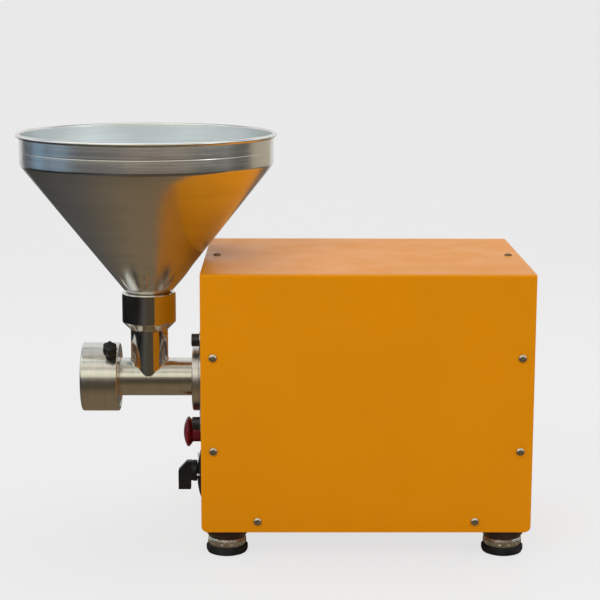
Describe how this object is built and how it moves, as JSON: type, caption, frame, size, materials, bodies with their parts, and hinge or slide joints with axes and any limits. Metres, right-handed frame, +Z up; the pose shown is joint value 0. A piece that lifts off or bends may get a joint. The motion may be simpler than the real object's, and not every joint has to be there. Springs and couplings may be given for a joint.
{
  "type": "nut butter grinder",
  "caption": "Bench-top nut butter grinder: painted metal motor casing on rubber feet, round steel feed barrel with grinding head, lift-off cone hopper, stop button and rotary switch.",
  "frame": {"origin": "under the middle of the part's outline, on the surface that the feet stand on", "axes": "+Z up, +X from the grinding head towards the rear panel, +Y away from the side with the lock knob"},
  "size_m": [0.5136, 0.2612, 0.4067],
  "materials": {
    "orange_paint": "satin powder coat",
    "satin_steel": "turned",
    "polished_steel": "polished stainless steel",
    "bright_screws": "bright plated",
    "dark_screws": "black oxide",
    "zinc_steel": "zinc plated",
    "burr_steel": "ground tool steel",
    "bearing_steel": "ground",
    "cast_grey": "as cast",
    "motor_aluminium": "die cast",
    "motor_paint": "satin",
    "copper_wire": "varnished copper",
    "brass_pins": "plain",
    "black_rubber": "matt",
    "red_rubber": "matt",
    "black_plastic": "satin",
    "dark_collar": "satin",
    "red_plastic": "satin gloss",
    "pale_plastic": "matt",
    "grey_plastic": "matt"
  },
  "bodies": {
    "casing": {"cover": "orange_paint", "front_panel": "orange_paint", "rear_panel": "orange_paint", "base_plate": "orange_paint", "cover_screws": "bright_screws", "top_screws": "dark_screws", "clinch_nuts": "zinc_steel", "foot_pads": "black_rubber", "foot_rings": "polished_steel", "foot_collars": "dark_collar", "foot_bolts": "zinc_steel", "foot_nuts": "zinc_steel", "mounting_flange": "satin_steel", "flange_screws": "dark_screws", "barrel_tube": "polished_steel", "barrel_nose": "satin_steel", "feed_tube": "polished_steel", "hopper_socket": "polished_steel", "barrel_grub_screw": "bright_screws", "shaft_seal": "black_rubber", "bearing_housing": "cast_grey", "bearing_outer_rings": "bearing_steel", "motor_frame": "motor_aluminium", "motor_end_bells": "motor_aluminium", "stator_core": "zinc_steel", "stator_windings": "copper_wire", "fan_cover": "motor_paint", "motor_cradle": "zinc_steel", "run_capacitor": "pale_plastic", "stop_collar": "black_plastic", "stop_contacts": "pale_plastic", "switch_plate": "black_plastic", "switch_body": "grey_plastic", "power_inlet": "black_plastic", "inlet_pins": "brass_pins", "inlet_screws": "bright_screws"},
    "drive": {"auger": "satin_steel", "rotating_burr": "burr_steel", "burr_nut": "satin_steel", "drive_shaft": "satin_steel", "bearing_inner_rings": "bearing_steel", "coupling_front": "cast_grey", "coupling_spider": "red_rubber", "coupling_rear": "cast_grey", "motor_shaft": "satin_steel", "rotor_core": "zinc_steel", "cooling_fan": "black_plastic"},
    "ball_sets": {"bearing_balls": "bearing_steel"},
    "adjust_cap": {"head_cap": "polished_steel", "stationary_burr": "burr_steel", "burr_screws": "bright_screws"},
    "lock": {"lock_knob": "black_plastic", "lock_screw": "bright_screws"},
    "hopper": {"hopper_bowl": "polished_steel", "rim_wire": "zinc_steel", "hopper_spigot": "polished_steel"},
    "stop_plunger": {"stop_stem": "black_plastic"},
    "stop_head": {"stop_button": "red_plastic"},
    "switch": {"switch_handle": "black_plastic"}
  },
  "joints": [
    {"name": "drive_spin", "type": "hinge", "parent": "casing", "child": "drive", "pos_m": [-0.06823, 0, 0.1555], "axis": [1, 0, 0], "continuous": true},
    {"name": "ball_spin", "type": "hinge", "parent": "casing", "child": "ball_sets", "pos_m": [-0.06823, 0, 0.1555], "axis": [1, 0, 0], "continuous": true},
    {"name": "cap_turn", "type": "hinge", "parent": "casing", "child": "adjust_cap", "pos_m": [-0.17823, 0, 0.1555], "axis": [-1, 0, 0], "range_deg": [-30, 270]},
    {"name": "lock_turn", "type": "hinge", "parent": "adjust_cap", "child": "lock", "pos_m": [-0.16323, -0.02121, 0.17671], "axis": [0, -0.7071, 0.7071], "range_deg": [0, 360]},
    {"name": "hopper_lift", "type": "slide", "parent": "casing", "child": "hopper", "axis": [0, 0, 1], "range_m": [0, 0.06]},
    {"name": "stop_press", "type": "slide", "parent": "casing", "child": "stop_plunger", "axis": [1, 0, 0], "range_m": [0, 0.004]},
    {"name": "stop_release", "type": "hinge", "parent": "stop_plunger", "child": "stop_head", "pos_m": [-0.06823, 0, 0.0972], "axis": [1, 0, 0], "range_deg": [0, 45]},
    {"name": "switch_turn", "type": "hinge", "parent": "casing", "child": "switch", "pos_m": [-0.06823, 0, 0.0556], "axis": [1, 0, 0], "range_deg": [0, 90]}
  ],
  "couplings": [
    {"joint": "ball_spin", "follows": "drive_spin", "ratio": 0.39677}
  ]
}
